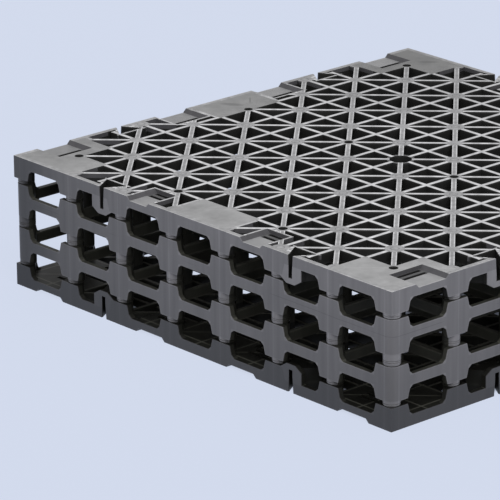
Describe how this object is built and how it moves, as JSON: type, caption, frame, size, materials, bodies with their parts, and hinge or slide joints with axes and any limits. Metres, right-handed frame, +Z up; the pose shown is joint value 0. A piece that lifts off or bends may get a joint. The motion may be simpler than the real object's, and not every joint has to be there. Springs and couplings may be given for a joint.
{
  "type": "water retention crate",
  "caption": "Flat square black plastic crate of stacked open trays and frames with lattice top and bottom, for storing rainwater underground.",
  "frame": {"origin": "centre of the underside, on the floor", "axes": "+X and +Y along the sides, +Z up; the picture shows the sides facing -X and -Y"},
  "size_m": [0.6, 0.6, 0.15],
  "materials": {
    "tray_plastic": "matte moulded recycled polypropylene",
    "frame_plastic": "matte moulded recycled polypropylene",
    "base_plastic": "matte moulded recycled polypropylene, a darker batch"
  },
  "bodies": {
    "root": {"top_tray": "tray_plastic", "upper_frame": "frame_plastic", "lower_frame": "frame_plastic", "bottom_tray": "base_plastic"}
  },
  "joints": []
}
